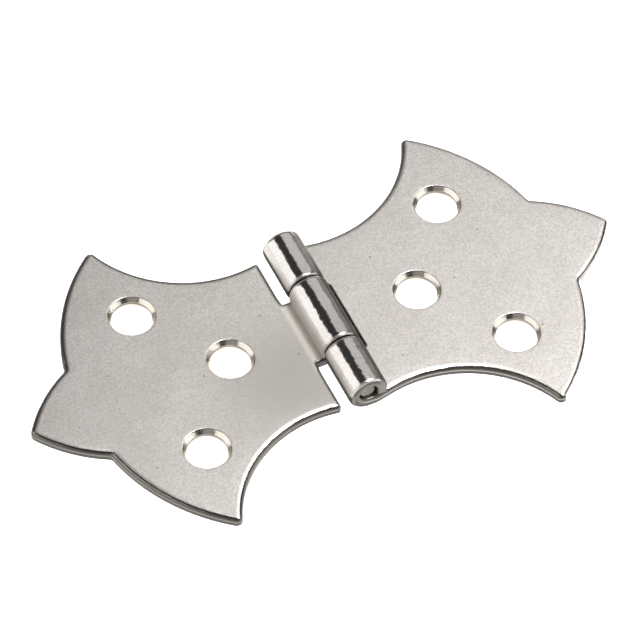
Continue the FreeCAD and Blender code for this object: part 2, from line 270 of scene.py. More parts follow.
tongue_half = wing_points + tongue_root()
notched_half = wing_points + notched_root()
TONGUE_OUTLINE = tongue_half + strip_end(CENTRE_HALF, -CENTRE_HALF)
TONGUE_OUTLINE += mirrored(tongue_half, (-STRIP_END, CENTRE_HALF))
NOTCHED_OUTLINE = notched_half + mirrored(notched_half, (NOTCH_X, 0))
print(f"Outlines: {len(TONGUE_OUTLINE)} points with the tongue, {len(NOTCHED_OUTLINE)} with the notch")

# %% [markdown]
# ## From outline to sheet
# The flat part of the sheet ends a little inside the outline, where the rounded edge begins. One
# many-sided face could fill it, but the sheet has to bend and to slope down at its edge later, so it
# gets small faces. These are the points they need: rows across the strips, a grid over the wing, and
# rings just inside the wing's edge.

# %% Points inside the outline
STRIP_COLUMN = 0.45
STRIP_SIDE_INSETS = (RIM_WIDTH + 0.1, RIM_WIDTH + 0.24)
SHEET_GRID = 1.7
GRID_COLUMNS = range(3, 21)
GRID_ROWS = range(-12, 13)
DRAW_INSETS = (0.38, 0.45, 0.52, 0.59, 0.66, DRAW_WIDTH)
DRAW_START = 0.3
CLEAR_SHARE = 0.97


def drawn_in(points, distance):
    """A closed outline moved to its left, which is inwards, by a distance."""
    inner = []
    for before, point, after in zip(points[-1:] + points[:-1], points, points[1:] + points[:1]):
        way = (after[0] - before[0], after[1] - before[1])
        length = math.hypot(*way)
        inner.append((point[0] - way[1] / length * distance, point[1] + way[0] / length * distance))
    return inner


def is_inside(point, outline):
    """Whether a point lies inside a closed outline, by counting the edges to its right."""
    x, y = point
    inside = False
    for (x0, y0), (x1, y1) in zip(outline, outline[1:] + outline[:1]):
        if (y0 > y) != (y1 > y) and x < x0 + (y - y0) * (x1 - x0) / (y1 - y0):
            inside = not inside
    return inside


def nearest(point, others):
    """The distance from a point to the nearest of some others."""
    return min(math.dist(point, other) for other in others)


def strip_points(low, high):
    """Points across a knuckle strip, in the rows that the roll bends, and closer at its sides."""
    first, last = low + DRAW_WIDTH, high - DRAW_WIDTH
    columns = round((last - first) / STRIP_COLUMN)
    ys = [first + (last - first) * i / columns for i in range(columns + 1)]
    for inset in STRIP_SIDE_INSETS:
        ys += [low + inset, high - inset]
    return [(-row, y) for row in strip_rows for y in ys]


def sheet_points(outline):
    """An even grid of points over the wing, clear of its edge and of the holes."""
    clear = SHEET_GRID / 2
    points = []
    for i in GRID_COLUMNS:
        for j in GRID_ROWS:
            point = (i * SHEET_GRID, j * SHEET_GRID)
            off_holes = nearest(point, HOLE_CENTRES) > COUNTERSINK_RADIUS + clear
            if off_holes and nearest(point, outline) > clear and is_inside(point, outline):
                points.append(point)
    return points


def draw_points(outline, inset):
    """Points of the wing at a set distance from its edge, where the punch draws the sheet down."""
    points = [(x, y) for x, y in drawn_in(outline, inset) if x > DRAW_START]
    return [point for point in points if nearest(point, outline) > CLEAR_SHARE * inset]


print(f"The sheet gets a {SHEET_GRID} mm grid and {len(DRAW_INSETS)} rings inside its edge")

# %% [markdown]
# ## Filling the sheet
# A Delaunay fill joins the points to triangles. It keeps every edge of the outline and of the screw
# holes, so each row across a strip becomes a clean row of faces; the faces it puts over a hole are
# left out. Each point keeps three marks for the press: whether it is at a hole, which way leads out
# of the sheet, and how far it lies from the edge.

# %% Fill the outlines with faces
HOLE_POINTS = 96
HOLE_MARGIN = 0.3
HOLE_EDGE = COUNTERSINK_RADIUS + HOLE_MARGIN
TOUCHING = 0.001
INSIDE_ONLY = 1
MERGE_WITHIN = 1e-6


def border_loops(outline):
    """The loops that bound the sheet, at its edge and its holes, and the way out at each point."""
    edge = drawn_in(outline, RIM_WIDTH)
    loops = [edge]
    ways_out = [(x - u, y - v, 0.0) for (x, y), (u, v) in zip(outline, edge)]
    angles = [math.tau * i / HOLE_POINTS for i in range(HOLE_POINTS)]
    for x, y in HOLE_CENTRES:
        loops.append([(x + HOLE_EDGE * math.cos(a), y + HOLE_EDGE * math.sin(a)) for a in angles])
        ways_out += [(-math.cos(a), -math.sin(a), 0.0) for a in angles]
    return loops, ways_out


def over_hole(corners):
    """Whether a face fills a screw hole: then all its corners lie on the edge of that hole."""
    for centre in HOLE_CENTRES:
        if all(math.dist(corner, centre) < HOLE_EDGE + TOUCHING for corner in corners):
            return True
    return False


def mark(mesh, name, kind, field, values):
    """Keep a value on each point of a mesh, for the press to read."""
    mesh.attributes.new(name, kind, "POINT").data.foreach_set(field, values)


def blank_mesh(name, outline, strips):
    """The flat blank as a mesh of faces at z = 0, marked for the press."""
    loops, ways_out = border_loops(outline)
    points, borders = [], []
    for loop in loops:
        first = len(points)
        points += loop
        borders += [(first + i, first + (i + 1) % len(loop)) for i in range(len(loop))]
    hole_range = range(len(outline), len(points))
    from_edge = {i: RIM_WIDTH for i in range(len(outline))}
    for low, high in strips:
        for x, y in strip_points(low, high):
            from_edge[len(points)] = min(y - low, high - y, STRIP_LENGTH + x, DRAW_WIDTH)
            points.append((x, y))
    points += sheet_points(loops[0])
    for inset in DRAW_INSETS:
        ring = draw_points(outline, inset)
        from_edge.update({len(points) + i: inset for i in range(len(ring))})
        points += ring
    vertices, _, faces, sources, _, _ = delaunay_2d_cdt(
        [Vector(point) for point in points], borders, [], INSIDE_ONLY, MERGE_WITHIN
    )
    faces = [face for face in faces if not over_hole([vertices[i] for i in face])]
    mesh = bpy.data.meshes.new(name)
    mesh.from_pydata([(x * MM, y * MM, 0) for x, y in vertices], [], faces)
    firsts = [found[0] if found else len(points) for found in sources]
    ways = [ways_out[i] if i < len(ways_out) else (0.0, 0.0, 0.0) for i in firsts]
    at_hole = [any(i in hole_range for i in found) for found in sources]
    mark(mesh, "screw_hole", "BOOLEAN", "value", at_hole)
    mark(mesh, "outward", "FLOAT_VECTOR", "vector", [part for way in ways for part in way])
    mark(mesh, "from_edge", "FLOAT", "value", [from_edge.get(i, DRAW_WIDTH) * MM for i in firsts])
    print(f"{name}: {len(mesh.vertices)} points, {len(mesh.polygons)} faces")
    return mesh


tongue_blank = blank_mesh("tongue_blank", TONGUE_OUTLINE, [(-CENTRE_HALF, CENTRE_HALF)])
notched_blank = blank_mesh(
    "notched_blank", NOTCHED_OUTLINE, [(NOTCH_HALF, BARREL_HALF), (-BARREL_HALF, -NOTCH_HALF)]
)

# %% [markdown]
# ## Pressing and rolling with Geometry Nodes
# The rest follows rules, so one node tree does it for both leaves. It gives the sheet its thickness,
# runs the edge's section round the outline and the countersink's section round each hole, and then
# bends whatever lies beyond the pin, row by row, as the rolling tool does. Solidify and Bevel could
# thicken and round the sheet, but they give every edge the same shape. First come a few helpers that
# keep the node building short.

# %% Small helpers for building node trees
def socket(sockets, name):
    """The enabled input or output of that name."""
    return next(s for s in sockets if s.name == name and s.enabled)


def feed(tree, target, value):
    """Link an output to an input, or set the input's own value."""
    if isinstance(value, bpy.types.NodeSocket):
        tree.links.new(value, target)
    else:
        target.default_value = value


def add_node(tree, kind, settings=None, **inputs):
    """Add a node, set its properties, and set or link its inputs by name."""
    node = tree.nodes.new(kind)
    for key, value in (settings or {}).items():
        setattr(node, key, value)
    for name, value in inputs.items():
        feed(tree, socket(node.inputs, name.replace("_", " ")), value)
    return node


def maths(tree, operation, *values):
    """A Math node's result for one, two or three values or outputs."""
    node = add_node(tree, "ShaderNodeMath", {"operation": operation})
    for target, value in zip(node.inputs, values):
        feed(tree, target, value)
    return node.outputs[0]


def times(tree, value, *others):
    """The product of all the values."""
    for other in others:
        value = maths(tree, "MULTIPLY", value, other)
    return value


def most(tree, value, *others):
    """The greatest of all the values."""
    for other in others:
        value = maths(tree, "MAXIMUM", value, other)
    return value


def the_rest(tree, share):
    """What a share leaves of one whole."""
    return maths(tree, "SUBTRACT", 1.0, share)


print("Node helpers ready")

# %% [markdown]
# ## What the press is set to
# Every size that the tree uses is an input with a name, as a press has settings, so the modifier
# could be reused for another hinge. Two more inputs are the shift that keeps the two leaves'
# patterns apart and the finish.

# %% The node tree's inputs
press = bpy.data.node_groups.new("press_and_roll", "GeometryNodeTree")
PRESS_SIZES = {
    "Sheet Thickness": SHEET * MM,
    "Rim Width": RIM_WIDTH * MM,
    "Die Roll": DIE_ROLL * MM,
    "Burr Edge": BURR_EDGE * MM,
    "Draw Width": DRAW_WIDTH * MM,
    "Draw Depth": DRAW_DEPTH * MM,
    "Ease Width": EASE_WIDTH * MM,
    "Ease Depth": EASE_DEPTH * MM,
    "Hole Margin": HOLE_MARGIN * MM,
    "Countersink Width": (COUNTERSINK_RADIUS - HOLE_RADIUS) * MM,
    "Countersink Depth": COUNTERSINK_DEPTH * MM,
    "Countersink Lip": COUNTERSINK_LIP * MM,
    "Countersink Foot": COUNTERSINK_FOOT * MM,
    "Barrel Radius": BARREL_RADIUS * MM,
    "Roll Length": ROLL_LENGTH * MM,
    "Roll Turn": ROLL_TURN,
}
input_kinds = {"Geometry": "NodeSocketGeometry"}
input_kinds.update({title: "NodeSocketFloat" for title in (*PRESS_SIZES, "Pattern Shift")})
input_kinds["Finish"] = "NodeSocketMaterial"
press_inputs = {}
for title, kind in input_kinds.items():
    press_inputs[title] = press.interface.new_socket(title, in_out="INPUT", socket_type=kind)
press.interface.new_socket("Geometry", in_out="OUTPUT", socket_type="NodeSocketGeometry")
given = press.nodes.new("NodeGroupInput").outputs
print(f"press_and_roll takes {len(PRESS_SIZES)} sizes, a pattern shift and a finish")

# %% [markdown]
# ## Sections of the edge and of the holes
# A punched edge is round where the punch went in and nearly sharp where the burr was taken off. A
# countersunk hole has a rounded lip, a cone and a short straight wall. Each is a section with a few
# corners, and a Fillet Curve node rounds every corner by its own radius.

# %% Edge section and hole section
CORNER_STEPS = 7


def flat_point(out, height):
    """A point of a section: how far out of the sheet, and how high. Its Y runs downwards."""
    return add_node(press, "ShaderNodeCombineXYZ", X=out, Y=times(press, height, -1.0)).outputs[0]


def section(points, radii):
    """An open section through the given points, with a rounded corner of the given radius at each."""
    chain = add_node(press, "GeometryNodeMeshLine", Count=len(points)).outputs[0]
    index = press.nodes.new("GeometryNodeInputIndex").outputs[0]
    places = add_node(press, "GeometryNodeIndexSwitch", {"data_type": "VECTOR"}, Index=index)
    sizes = add_node(press, "GeometryNodeIndexSwitch", {"data_type": "FLOAT"}, Index=index)
    for switch, values in ((places, points), (sizes, radii)):
        while len(switch.index_switch_items) < len(values):
            switch.index_switch_items.new()
        for target, value in zip(switch.inputs[1:], values):
            feed(press, target, value)
    chain = add_node(press, "GeometryNodeSetPosition", Geometry=chain, Position=places.outputs[0])
    curve = add_node(press, "GeometryNodeMeshToCurve", Mesh=chain.outputs[0]).outputs[0]
    return add_node(
        press, "GeometryNodeFilletCurve", {"mode": "POLY"},
        Curve=curve, Count=CORNER_STEPS, Radius=sizes.outputs[0], Limit_Radius=True,
    ).outputs[0]


def stored(geometry, name, value, data_type="FLOAT", domain="POINT"):
    """Keep a value on the geometry under a name."""
    return add_node(
        press, "GeometryNodeStoreNamedAttribute", {"data_type": data_type, "domain": domain},
        Geometry=geometry, Name=name, Value=value,
    ).outputs[0]


place = press.nodes.new("GeometryNodeInputPosition").outputs[0]
x, y, z = add_node(press, "ShaderNodeSeparateXYZ", Vector=place).outputs
thickness = given["Sheet Thickness"]
rim = given["Rim Width"]
edge_section = section(
    [flat_point(0.0, 0.0), flat_point(rim, 0.0), flat_point(rim, thickness), flat_point(0.0, thickness)],
    [0.0, given["Burr Edge"], given["Die Roll"], 0.0],
)
edge_section = stored(edge_section, "section_out", x)
mouth = given["Hole Margin"]
wall = maths(press, "ADD", mouth, given["Countersink Width"])
cone_foot = maths(press, "SUBTRACT", thickness, given["Countersink Depth"])
hole_section = section(
    [
        flat_point(0.0, 0.0),
        flat_point(wall, 0.0),
        flat_point(wall, cone_foot),
        flat_point(mouth, thickness),
        flat_point(0.0, thickness),
    ],
    [0.0, given["Burr Edge"], given["Countersink Foot"], given["Countersink Lip"], 0.0],
)
print("Sections drawn for the edge and for the countersunk holes")

# %% [markdown]
# ## Closing the sheet
# The blank's faces are used twice, as top and underside, and Curve to Mesh runs each section along
# the border edges between them. A border may come out walked either way, so it is turned round
# where the way out lies on its left. Each face keeps what it is, flat, hole or edge, for the finish.

# %% Run the sections round their paths and close the sheet
FLAT_FACE, HOLE_FACE, EDGE_FACE = 0.0, 0.5, 1.0
SAME_WITHIN = 0.1
BORDER_FACES = 1.0
WELD = 2e-6


def named(name, data_type):
    """A value that the geometry carries under a name."""
    return add_node(press, "GeometryNodeInputNamedAttribute", {"data_type": data_type}, Name=name).outputs[0]


def true_when(operation, *values):
    """A Boolean Math node's result."""
    node = add_node(press, "FunctionNodeBooleanMath", {"operation": operation})
    for target, value in zip(node.inputs, values):
        feed(press, target, value)
    return node.outputs[0]


def vector_maths(operation, first, second, result="Vector"):
    """A Vector Math node's result for two vectors."""
    node = add_node(press, "ShaderNodeVectorMath", {"operation": operation})
    feed(press, node.inputs[0], first)
    feed(press, node.inputs[1], second)
    return node.outputs[result]


def swept(selection, profile):
    """The band that a section makes along the chosen edges, walked with the metal on the left."""
    path = add_node(press, "GeometryNodeMeshToCurve", Mesh=given["Geometry"], Selection=selection).outputs[0]
    way = press.nodes.new("GeometryNodeInputTangent").outputs[0]
    right_hand = vector_maths("CROSS_PRODUCT", way, (0, 0, 1))
    facing = vector_maths("DOT_PRODUCT", right_hand, named("outward", "FLOAT_VECTOR"), "Value")
    per_point = {"data_type": "FLOAT", "domain": "POINT"}
    facing = add_node(press, "GeometryNodeFieldOnDomain", per_point, Value=facing).outputs[0]
    backwards = maths(press, "LESS_THAN", facing, 0.0)
    path = add_node(press, "GeometryNodeReverseCurve", Curve=path, Selection=backwards).outputs[0]
    path = add_node(press, "GeometryNodeSetCurveNormal", {"mode": "Z_UP"}, Curve=path).outputs[0]
    band = add_node(press, "GeometryNodeCurveToMesh", Curve=path, Profile_Curve=profile).outputs[0]
    return add_node(press, "GeometryNodeFlipFaces", Mesh=band).outputs[0]


neighbours = press.nodes.new("GeometryNodeInputMeshEdgeNeighbors").outputs[0]
border = maths(press, "COMPARE", neighbours, BORDER_FACES, SAME_WITHIN)
at_hole = named("screw_hole", "BOOLEAN")
at_outline = true_when("NOT", at_hole)
lift = add_node(press, "ShaderNodeCombineXYZ", Z=thickness).outputs[0]
top = add_node(press, "GeometryNodeTransform", Geometry=given["Geometry"], Translation=lift).outputs[0]
underside = add_node(press, "GeometryNodeFlipFaces", Mesh=given["Geometry"]).outputs[0]
sides_of_sheet = (
    (top, FLAT_FACE),
    (underside, FLAT_FACE),
    (swept(true_when("AND", border, at_outline), edge_section), EDGE_FACE),
    (swept(true_when("AND", border, at_hole), hole_section), HOLE_FACE),
)
joined = press.nodes.new("GeometryNodeJoinGeometry")
for geometry, kind in sides_of_sheet:
    press.links.new(stored(geometry, "cut_edge", kind, domain="FACE"), joined.inputs[0])
sheet = add_node(press, "GeometryNodeMergeByDistance", Geometry=joined.outputs[0], Distance=WELD).outputs[0]
print("Sheet closed: top, underside, edge and holes")

# %% [markdown]
# ## Edges that slope down
# A punch drags the sheet's top down a little before it cuts, so the wing's edge slopes before it
# turns over. The rolling tool eases the ends of the knuckles in the same way, on the underside of the
# blank, which becomes the outside of the roll. A bevel could not slope so gently, so each point is
# moved by how near the edge it is.
# The finish needs to know such places too: the place on the blank, the distance from the edge and how
# far an edge faces the wing's tip are stored before anything bends.

# %% Draw the wing's edge down and ease the ends of the knuckles
WING_FADE = (0.2, 1.2)
STRIP_FADE = (-0.2, -1.2)
NOTCH_FADE = (3.6, 4.6)
NOTCH_SIDE_FADE = (4.8, 5.4)
SLOPE_POWER = 2.0


def nearness(width):
    """From 0 at a width inside the edge to 1 at the edge, rising as a square."""
    share = maths(press, "DIVIDE", named("from_edge", "FLOAT"), width)
    return maths(press, "POWER", most(press, the_rest(press, share), 0.0), SLOPE_POWER)


def between(value, low, high):
    """From 0 at low to 1 at high, both in millimetres."""
    limits = {"From_Min": low * MM, "From_Max": high * MM}
    return add_node(press, "ShaderNodeMapRange", Value=value, **limits).outputs[0]


shift = add_node(press, "ShaderNodeCombineXYZ", Y=given["Pattern Shift"]).outputs[0]
outward_x = add_node(press, "ShaderNodeSeparateXYZ", Vector=named("outward", "FLOAT_VECTOR")).outputs["X"]
inset = maths(press, "SUBTRACT", named("from_edge", "FLOAT"), named("section_out", "FLOAT"))
flat = stored(sheet, "blank", vector_maths("ADD", place, shift), "FLOAT_VECTOR")
flat = stored(flat, "tip_side", maths(press, "DIVIDE", outward_x, RIM_WIDTH))
flat = stored(flat, "from_edge", inset)
beside_notch = between(maths(press, "ABSOLUTE", y), *NOTCH_SIDE_FADE)
on_wing = times(press, between(x, *WING_FADE), most(press, between(x, *NOTCH_FADE), beside_notch))
on_strip = between(x, *STRIP_FADE)
level = maths(press, "DIVIDE", z, thickness)
lowered = times(press, nearness(given["Draw Width"]), on_wing, level, given["Draw Depth"])
eased = times(press, nearness(given["Ease Width"]), on_strip, the_rest(press, level), given["Ease Depth"])
rise = add_node(press, "ShaderNodeCombineXYZ", Z=maths(press, "SUBTRACT", eased, lowered)).outputs[0]
drawn = add_node(press, "GeometryNodeSetPosition", Geometry=flat, Offset=rise).outputs[0]
print(f"The sheet's edge is drawn down by {DRAW_DEPTH} mm over its last {DRAW_WIDTH} mm")

# %% [markdown]
# ## Rolling the knuckles
# A knuckle is the strip wound three quarters round the pin, then straight down to the leaf. A
# Simple Deform modifier could bend it, but here the rule is short: the distance beyond the pin gives
# the angle, and the height in the sheet gives the radius. The tree ends in a plain mesh with the
# finish on it.

# %% Roll the strips round the pin
beyond = most(press, times(press, x, -1.0), 0.0)
share = maths(press, "MINIMUM", maths(press, "DIVIDE", beyond, given["Roll Length"]), 1.0)
roll_angle = times(press, share, given["Roll Turn"])
drop = most(press, maths(press, "SUBTRACT", beyond, given["Roll Length"]), 0.0)
reach = maths(press, "SUBTRACT", given["Barrel Radius"], z)
around_x = times(press, reach, maths(press, "SINE", roll_angle))
around_z = times(press, reach, maths(press, "COSINE", roll_angle))
rolled = add_node(
    press, "ShaderNodeCombineXYZ",
    X=maths(press, "SUBTRACT", most(press, x, 0.0), around_x),
    Y=y,
    Z=maths(press, "SUBTRACT", maths(press, "SUBTRACT", given["Barrel Radius"], around_z), drop),
).outputs[0]
leaf = add_node(press, "GeometryNodeSetPosition", Geometry=drawn, Position=rolled).outputs[0]
leaf = add_node(press, "GeometryNodeSetShadeSmooth", Geometry=leaf).outputs[0]
leaf = add_node(press, "GeometryNodeRealizeInstances", Geometry=leaf).outputs[0]
leaf = add_node(press, "GeometryNodeSetMaterial", Geometry=leaf, Material=given["Finish"]).outputs[0]
press.links.new(leaf, press.nodes.new("NodeGroupOutput").inputs[0])
print("Strips rolled by", round(math.degrees(ROLL_TURN)), "degrees")

# %% [markdown]
# ## Satin nickel
# The leaves are plated after pressing. The flat faces come out satin, with a fine grain, while the
# knuckles are burnished bright by the rolling tool, and the punched edges keep the marks of the die.
# Three materials could share the leaf, but the plating is one skin that changes little by little, so
# one material is made of masks, patterns, colours, roughness and relief. The helpers come first.

# %% Helpers for the finishes
def new_finish(name, metallic=1.0):
    """An empty material, with its tree and its shader."""
    finish = bpy.data.materials.new(name)
    finish.use_nodes = True
    shader = next(node for node in finish.node_tree.nodes if node.type == "BSDF_PRINCIPLED")
    shader.inputs["Metallic"].default_value = metallic
    return finish, finish.node_tree, shader


def in_millimetres(tree, metres):
    """A place in metres as one in millimetres."""
    scaled = add_node(tree, "ShaderNodeVectorMath", {"operation": "SCALE"}, Vector=metres, Scale=1 / MM)
    return scaled.outputs[0]


def stretched(tree, where, *lengths):
    """Coordinates scaled along each axis, so that a pattern is drawn out along one of them."""
    node = add_node(tree, "ShaderNodeMapping", {"vector_type": "TEXTURE"}, Vector=where)
    node.inputs["Scale"].default_value = lengths
    return node.outputs[0]


def noise(tree, where, scale=1.0, detail=3.0, roughness=0.6):
    """Noise with features about 1/scale of a millimetre across."""
    node = add_node(
        tree, "ShaderNodeTexNoise", {"noise_dimensions": "3D", "normalize": True},
        Vector=where, Scale=scale, Detail=detail, Roughness=roughness, Distortion=0.0,
    )
    return socket(node.outputs, "Fac")


def ramp(tree, value, low, high, start=0.0, end=1.0, shape="SMOOTHSTEP"):
    """Map a value from low..high to start..end, and hold it there."""
    node = add_node(tree, "ShaderNodeMapRange", {"interpolation_type": shape, "clamp": True})
    for target, amount in zip(node.inputs[:5], (value, low, high, start, end)):
        feed(tree, target, amount)
    return node.outputs[0]


def mix(tree, kind, slots, amounts):
    """A Mix node with its share and its two ends fed by the numbers of their sockets."""
    node = add_node(tree, "ShaderNodeMix", {"data_type": kind})
    for slot, amount in zip(slots, amounts):
        feed(tree, node.inputs[slot], amount)
    return node


def blend(tree, share, first, second):
    """A number between two others."""
    return mix(tree, "FLOAT", (0, 2, 3), (share, first, second)).outputs[0]


def blend_colour(tree, share, first, second):
    """A colour between two others."""
    return mix(tree, "RGBA", (0, 6, 7), (share, first, second)).outputs[2]


def bump(tree, height, depth, normal=None, share=1.0):
    """Relief of a given depth in millimetres over a height from 0 to 1, where the share is not 0."""
    node = add_node(tree, "ShaderNodeBump", Height=height, Distance=depth * MM, Strength=share)
    if normal is not None:
        tree.links.new(normal, node.inputs["Normal"])
    return node.outputs[0]


print("Finish helpers ready")

# %% [markdown]
# ## Masks: holes, edges and roll
# A mask is a number from 0 to 1 that says how far a place is, say, on the roll. On the real leaf each
# tool touched its own part of the blank, so the place on the flat blank decides. Masks could be
# painted by hand, but as fades between two named limits they follow the sizes when those change.

# %% Masks on the flat blank
LIP_FADE = (SHEET - 0.005, SHEET - 0.03)
UNDERSIDE_FADE = (0.005, 0.03)
CONE_FOOT_Z = SHEET - COUNTERSINK_DEPTH
WALL_TOP_FADE = (CONE_FOOT_Z + 0.05, CONE_FOOT_Z - 0.05)
WALL_END_FADE = (CONE_FOOT_Z - 0.45, CONE_FOOT_Z - 0.25)
ROLL_FADE = (0.2, -1.6)
BURR_FADE = (0.6 * BURR_EDGE, 1.1 * BURR_EDGE)
DIE_ROLL_FADE = (SHEET - 0.02 * DIE_ROLL, SHEET - 0.14 * DIE_ROLL)
UPPER_FADE = (0.5 * SHEET, 0.6 * SHEET)
DRAWN_FADE = (0.4, 0.28)
KNUCKLE_END_FADE = (0.5, 0.2)
POLISH_COVER = 0.6

nickel, tree, shader = new_finish("satin_nickel")


def carried(name, output="Fac"):
    """A value that the press left on the leaf."""
    return add_node(tree, "ShaderNodeAttribute", {"attribute_name": name}).outputs[output]


blank_place = in_millimetres(tree, carried("blank", "Vector"))
blank_x, blank_y, blank_z = add_node(tree, "ShaderNodeSeparateXYZ", Vector=blank_place).outputs
cut_edge = carried("cut_edge")
from_edge = maths(tree, "DIVIDE", carried("from_edge"), MM)
in_hole = times(
    tree, maths(tree, "COMPARE", cut_edge, HOLE_FACE, SAME_WITHIN),
    ramp(tree, blank_z, *LIP_FADE), ramp(tree, blank_z, *UNDERSIDE_FADE),
)
# Painted shade: the straight wall under the countersink's cone gets a dark brown colour.
hole_wall_shade = times(tree, in_hole, ramp(tree, blank_z, *WALL_TOP_FADE), ramp(tree, blank_z, *WALL_END_FADE))
on_roll = ramp(tree, blank_x, *ROLL_FADE)
off_roll = the_rest(tree, on_roll)
on_edge = maths(tree, "GREATER_THAN", cut_edge, (HOLE_FACE + EDGE_FACE) / 2)
under_die_roll = ramp(tree, blank_z, *DIE_ROLL_FADE)
on_wall = times(tree, on_edge, ramp(tree, blank_z, *BURR_FADE), most(tree, under_die_roll, on_roll))
upper_half = ramp(tree, blank_z, *UPPER_FADE)
drawn_down = times(tree, ramp(tree, from_edge, *DRAWN_FADE), upper_half)
knuckle_end = times(tree, on_roll, ramp(tree, from_edge, *KNUCKLE_END_FADE))
polished = most(tree, on_roll, drawn_down)
rubbed = most(tree, polished, on_edge, in_hole)
plain = the_rest(tree, times(tree, polished, POLISH_COVER))
print("Masks for holes, edges and roll:", len(tree.nodes), "nodes so far")

# %% [markdown]
# ## Masks: round the barrel
# The barrel's right side and the low left side of its outer knuckles get painted shade: a darkened
# colour, and they are also made rougher. The cut walls in the slots beside the barrel are darkened as
# painted shade too. At the tongue's root a painted sheen, a lighter and less metallic colour, stands
# in for the light that the root's upward curve catches. Most of these places are known by where they
# are on the finished leaf, so they read Object coordinates; the sheen goes by the blank.

# %% Masks round the barrel
TONGUE_SHIFT = 80.0
RIGHT_SHADE_FADE = (1.1, 1.5)
LEFT_SHADE_FADE = (-1.5, -1.8)
LEFT_SHADE_TOP_FADE = (2.97, 2.47)
WORN_FADE = (-1.3, -1.6)
WORN_TOP_FADE = (3.8, 3.3)
SHEEN_OUTER_FADE = (3.7, 2.9)
SHEEN_INNER_FADE = (0.0, 0.6)
SLOT_END_FADE = (5.2, 4.9)
SLOT_SIDE_FADE = (3.7, 3.4)

leaf_place = in_millimetres(tree, tree.nodes.new("ShaderNodeTexCoord").outputs["Object"])
across, along, height = add_node(tree, "ShaderNodeSeparateXYZ", Vector=leaf_place).outputs
on_tongue_leaf = maths(tree, "GREATER_THAN", blank_y, TONGUE_SHIFT / 2)
off_tongue_leaf = the_rest(tree, on_tongue_leaf)
# Painted shade on the barrel: its right side, and the low left side of the outer knuckles, get a darkened
# colour.
right_barrel_shade = ramp(tree, across, *RIGHT_SHADE_FADE)
left_barrel_shade = times(
    tree, ramp(tree, height, *LEFT_SHADE_TOP_FADE), ramp(tree, across, *LEFT_SHADE_FADE), off_tongue_leaf
)
barrel_shade = times(tree, on_roll, most(tree, right_barrel_shade, left_barrel_shade))
worn_low = times(tree, on_roll, ramp(tree, height, *WORN_TOP_FADE), ramp(tree, across, *WORN_FADE))
# Painted sheen: the tongue's root is made lighter and less metallic, in place of the light that the root's
# upward curve catches.
root_sheen = times(
    tree, ramp(tree, blank_x, *SHEEN_OUTER_FADE), ramp(tree, blank_x, *SHEEN_INNER_FADE), on_tongue_leaf
)
# Painted shade: the cut walls in the slots beside the barrel are darkened almost to black.
slot_wall_shade = times(
    tree, ramp(tree, maths(tree, "ABSOLUTE", along), *SLOT_END_FADE),
    ramp(tree, maths(tree, "ABSOLUTE", across), *SLOT_SIDE_FADE), on_wall,
)
print("Masks round the barrel:", len(tree.nodes), "nodes so far")

# %% [markdown]
# ## Patterns in the metal
# Plated steel is never quite even: broad clouds, a fine mottle and grain on the flats, streaks from
# the rolling tool, upright shear marks on the cut edges, and slow waves and ripples where the sheet
# was bent. All are noise, stretched along the way the tool went. Pictures of metal would do as well,
# but noise on the blank's own coordinates follows the sheet round the roll without a seam.

# %% Patterns of the plating and the tools
SPECK_CELLS = 0.1
SPECK_FADE = (0.014, 0.008)
SHADE_PATCH = (5.5, 6.0 + TONGUE_SHIFT, SHEET)
SHADE_PATCH_FADE = (14.0, 1.0)

clouds = noise(tree, blank_place, scale=0.16, detail=4.0)
mottle = noise(tree, blank_place, scale=1.1)
grain = noise(tree, blank_place, scale=4.4, detail=1.0, roughness=0.5)
streaks = noise(tree, stretched(tree, blank_place, 0.35, 14.0, 1.0), roughness=0.55)
shear = noise(tree, stretched(tree, blank_place, 0.22, 0.22, 3.0))
waves = noise(tree, stretched(tree, blank_place, 2.2, 1.9, 2.0), detail=2.0, roughness=0.5)
ripples = noise(tree, stretched(tree, blank_place, 0.8, 0.55, 0.8), detail=1.0, roughness=0.5)
cells = add_node(
    tree, "ShaderNodeTexVoronoi", {"voronoi_dimensions": "2D"}, Vector=blank_place, Scale=SPECK_CELLS
)
specks = ramp(tree, socket(cells.outputs, "Distance"), *SPECK_FADE)
# Painted shade: a round patch of the left leaf near the barrel is darkened.
from_patch = add_node(tree, "ShaderNodeVectorMath", {"operation": "DISTANCE"}, Vector=blank_place)
from_patch.inputs[1].default_value = SHADE_PATCH
shade_patch = ramp(tree, from_patch.outputs["Value"], *SHADE_PATCH_FADE)
print("Patterns laid on the blank:", len(tree.nodes), "nodes so far")

# %% [markdown]
# ## Masks: along the punched edge
# A punched edge has a burnished line in the middle, where the punch slid, and torn metal under it.
# The cut edges that face the tip of the leaf with the notch get a painted highlight, and those that
# face the tip on the back half of the leaf with the tongue get painted shade. A painted dark line,
# standing in for a dark reflection, lies along the top of the edge. The edge could be split into
# separate faces for this, but bands of height and the direction of the edge tell the same.

# %% Masks along the edge
TORN_FADE = (0.75, 0.6)
LINE_FOOT_FADE = (0.7, 0.76)
LINE_TOP_FADE = (0.9, 0.84)
LINE_SHARES = (0.7, 0.2)
TIP_FADE = (0.25, 0.75)
SHADED_TIP_FADE = (0.35, 0.65)
BACK_FADE = (TONGUE_SHIFT + 0.5, TONGUE_SHIFT - 0.5)
EDGE_SHADE_STARTS = (0.4, 0.56)
EDGE_SHADE_FULL = (0.28, 0.4)
EDGE_SHADE_SHARES = (0.25, 0.65)

tip_side = carried("tip_side")
# Painted highlight: the cut edges of the notched leaf that face its tip are made light.
tip_highlight = times(tree, ramp(tree, tip_side, *TIP_FADE), off_tongue_leaf)
back_half = times(tree, ramp(tree, blank_y, *BACK_FADE), on_tongue_leaf)
